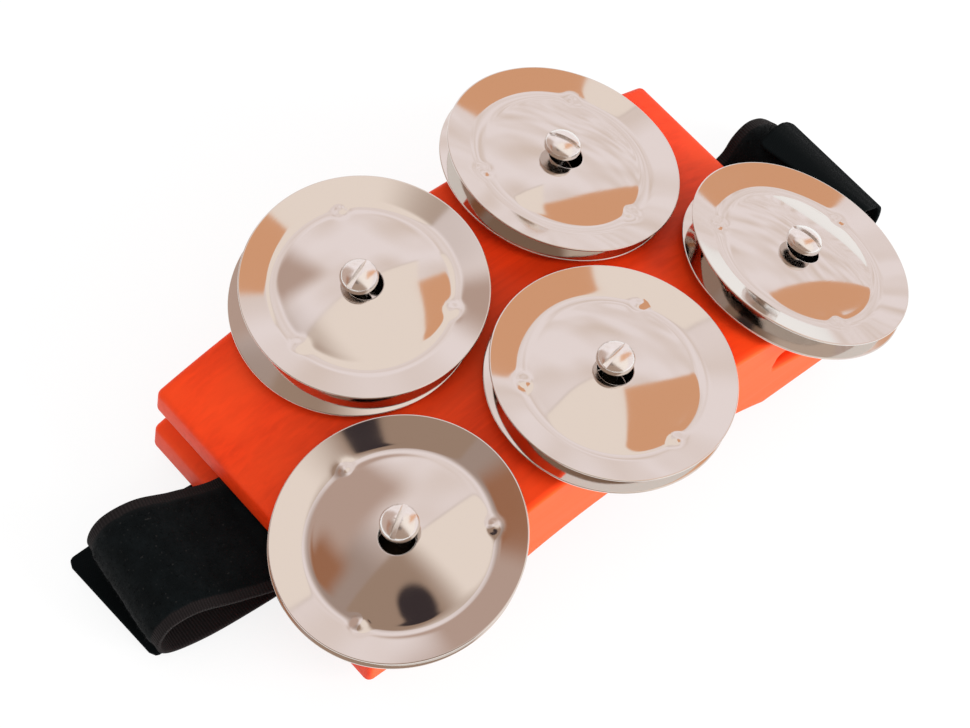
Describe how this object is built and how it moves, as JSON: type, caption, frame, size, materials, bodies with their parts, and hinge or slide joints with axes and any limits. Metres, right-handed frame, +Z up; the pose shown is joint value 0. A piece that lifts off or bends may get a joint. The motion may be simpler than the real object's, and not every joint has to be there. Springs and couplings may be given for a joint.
{
  "type": "foot tambourine",
  "caption": "Painted wooden instep block with pairs of loose steel jingles on round-head screws along its curved top and hook-and-loop webbing that closes under the shoe.",
  "frame": {"origin": "on the floor, on the underside of the hook strap, under the middle of the block", "axes": "+X along the block towards the end with the open strap, +Y across the block towards the row of two jingle pairs, +Z up from the floor through the crown"},
  "size_m": [0.2129, 0.1068, 0.0515],
  "materials": {
    "painted_wood": "satin orange-red paint over sanded wood",
    "jingle_steel": "bright nickel-plated pressed steel",
    "screw_steel": "bright zinc-plated steel",
    "pile_webbing": "black looped pile on woven nylon webbing",
    "hook_webbing": "black woven nylon webbing with hooks on its inner side",
    "nail_steel": "plain drawn steel"
  },
  "bodies": {
    "block": {"body_block": "painted_wood", "screw_a": "screw_steel", "screw_b": "screw_steel", "screw_c": "screw_steel", "screw_d": "screw_steel", "screw_e": "screw_steel", "pile_strap_left": "pile_webbing", "pile_strap_right": "pile_webbing", "hook_strap": "hook_webbing", "strap_nail_left_front": "nail_steel", "strap_nail_left_back": "nail_steel", "strap_nail_right_front": "nail_steel", "strap_nail_right_back": "nail_steel"},
    "jingle_a_lower": {"jingle_a_lower": "jingle_steel"},
    "jingle_a_upper": {"jingle_a_upper": "jingle_steel"},
    "jingle_b_lower": {"jingle_b_lower": "jingle_steel"},
    "jingle_b_upper": {"jingle_b_upper": "jingle_steel"},
    "jingle_c_lower": {"jingle_c_lower": "jingle_steel"},
    "jingle_c_upper": {"jingle_c_upper": "jingle_steel"},
    "jingle_d_lower": {"jingle_d_lower": "jingle_steel"},
    "jingle_d_upper": {"jingle_d_upper": "jingle_steel"},
    "jingle_e_lower": {"jingle_e_lower": "jingle_steel"},
    "jingle_e_upper": {"jingle_e_upper": "jingle_steel"}
  },
  "joints": [
    {"name": "jingle_a_lower_slide", "type": "slide", "parent": "block", "child": "jingle_a_lower", "axis": [-0.2625, 0, 0.9649], "range_m": [0, 0.0008]},
    {"name": "jingle_a_upper_slide", "type": "slide", "parent": "jingle_a_lower", "child": "jingle_a_upper", "axis": [-0.2625, 0, 0.9649], "range_m": [0, 0.0008]},
    {"name": "jingle_b_lower_slide", "type": "slide", "parent": "block", "child": "jingle_b_lower", "axis": [-0.1284, 0, 0.9917], "range_m": [0, 0.0008]},
    {"name": "jingle_b_upper_slide", "type": "slide", "parent": "jingle_b_lower", "child": "jingle_b_upper", "axis": [-0.1284, 0, 0.9917], "range_m": [0, 0.0008]},
    {"name": "jingle_c_lower_slide", "type": "slide", "parent": "block", "child": "jingle_c_lower", "axis": [0.0071, 0, 1], "range_m": [0, 0.0008]},
    {"name": "jingle_c_upper_slide", "type": "slide", "parent": "jingle_c_lower", "child": "jingle_c_upper", "axis": [0.0071, 0, 1], "range_m": [0, 0.0008]},
    {"name": "jingle_d_lower_slide", "type": "slide", "parent": "block", "child": "jingle_d_lower", "axis": [0.1429, 0, 0.9897], "range_m": [0, 0.0008]},
    {"name": "jingle_d_upper_slide", "type": "slide", "parent": "jingle_d_lower", "child": "jingle_d_upper", "axis": [0.1429, 0, 0.9897], "range_m": [0, 0.0008]},
    {"name": "jingle_e_lower_slide", "type": "slide", "parent": "block", "child": "jingle_e_lower", "axis": [0.2838, 0, 0.9589], "range_m": [0, 0.0008]},
    {"name": "jingle_e_upper_slide", "type": "slide", "parent": "jingle_e_lower", "child": "jingle_e_upper", "axis": [0.2838, 0, 0.9589], "range_m": [0, 0.0008]}
  ]
}
